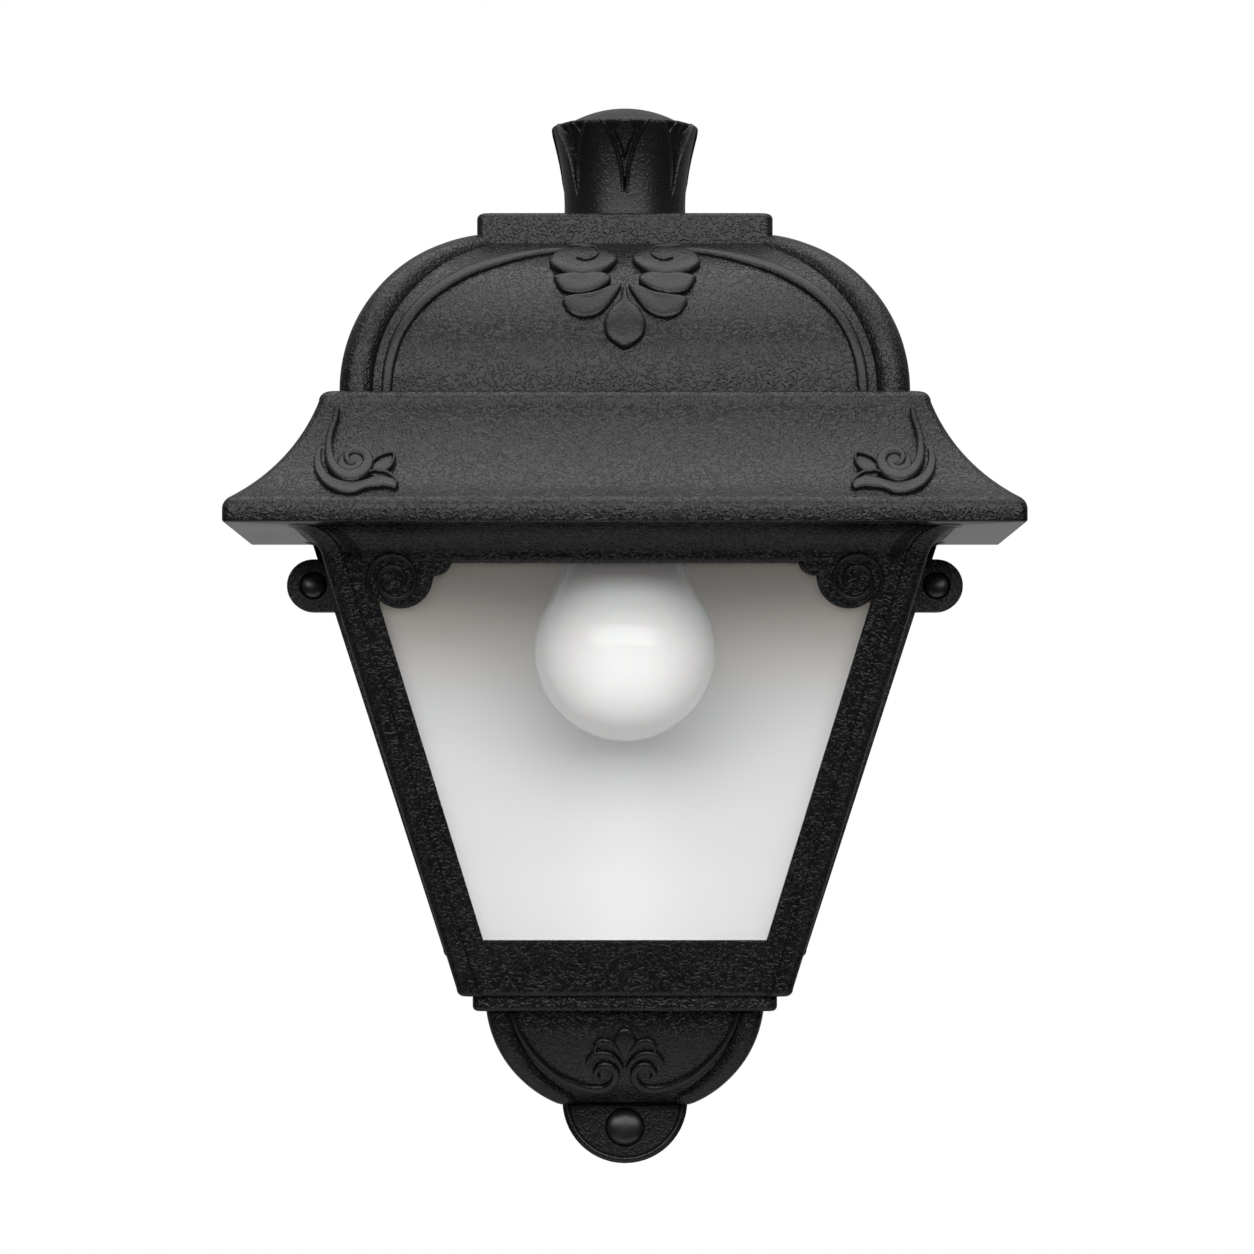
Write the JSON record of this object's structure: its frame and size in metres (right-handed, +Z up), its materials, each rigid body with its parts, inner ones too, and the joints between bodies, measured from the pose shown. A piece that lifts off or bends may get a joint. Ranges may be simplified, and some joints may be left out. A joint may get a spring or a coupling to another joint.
{
  "type": "wall lantern",
  "caption": "Half lantern for an outside wall: tapered moulded cage with clear panes, flared ribbed roof, petalled finial, hanging screw-cap lamp and eared wall plate.",
  "frame": {"origin": "centre of the circle through the three wall screw holes, on the wall face", "axes": "+Z up, +Y into the wall, +X to the right as seen from in front"},
  "size_m": [0.2538, 0.1269, 0.3531],
  "materials": {
    "black_resin": "fine wrinkle texture, satin",
    "clear_pane": "clear moulded plastic",
    "white_sheet": "satin white",
    "opal_bulb": "glossy opal with plated cap",
    "plated_steel": "zinc plated",
    "brass": "plain",
    "holder_black": "smooth",
    "insulator": "smooth",
    "brown_insulation": "smooth",
    "blue_insulation": "smooth",
    "seal_rubber": "matt"
  },
  "bodies": {
    "lantern": {"wall_plate": "black_resin", "body_frame": "black_resin", "body_screws": "plated_steel", "reflector": "white_sheet", "diffuser": "clear_pane", "lamp_bracket": "plated_steel", "bracket_screws": "plated_steel", "bracket_nuts": "plated_steel", "thread_shell": "brass", "lampholder_base": "insulator", "centre_contact": "brass", "lampholder_shell": "holder_black", "holder_nipple": "plated_steel", "holder_nut": "plated_steel", "roof_stud": "plated_steel", "stud_nut": "plated_steel", "terminal_block": "insulator", "terminal_screws": "brass", "terminal_fixing_screw": "plated_steel", "live_wire": "brown_insulation", "neutral_wire": "blue_insulation", "cable_grommet": "seal_rubber"},
    "roof": {"roof": "black_resin"},
    "finial": {"finial": "black_resin", "finial_insert": "brass", "finial_washer": "seal_rubber"},
    "bulb": {"bulb": "opal_bulb"},
    "cap_right": {"screw_cap_right": "black_resin"},
    "cap_left": {"screw_cap_left": "black_resin"},
    "cap_lower": {"screw_cap_lower": "black_resin"}
  },
  "joints": [
    {"name": "roof_lift", "type": "slide", "parent": "lantern", "child": "roof", "axis": [0, 0, 1], "range_m": [0, 0.13]},
    {"name": "finial_turn", "type": "hinge", "parent": "roof", "child": "finial", "pos_m": [0, -0.025, 0.19], "axis": [0, 0, 1], "continuous": true},
    {"name": "bulb_turn", "type": "hinge", "parent": "lantern", "child": "bulb", "pos_m": [0, -0.045, 0.1], "axis": [0, 0, 1], "continuous": true},
    {"name": "cap_right_pull", "type": "slide", "parent": "lantern", "child": "cap_right", "axis": [0, -1, 0], "range_m": [0, 0.012]},
    {"name": "cap_left_pull", "type": "slide", "parent": "lantern", "child": "cap_left", "axis": [0, -1, 0], "range_m": [0, 0.012]},
    {"name": "cap_lower_pull", "type": "slide", "parent": "lantern", "child": "cap_lower", "axis": [0, -1, 0], "range_m": [0, 0.012]}
  ]
}
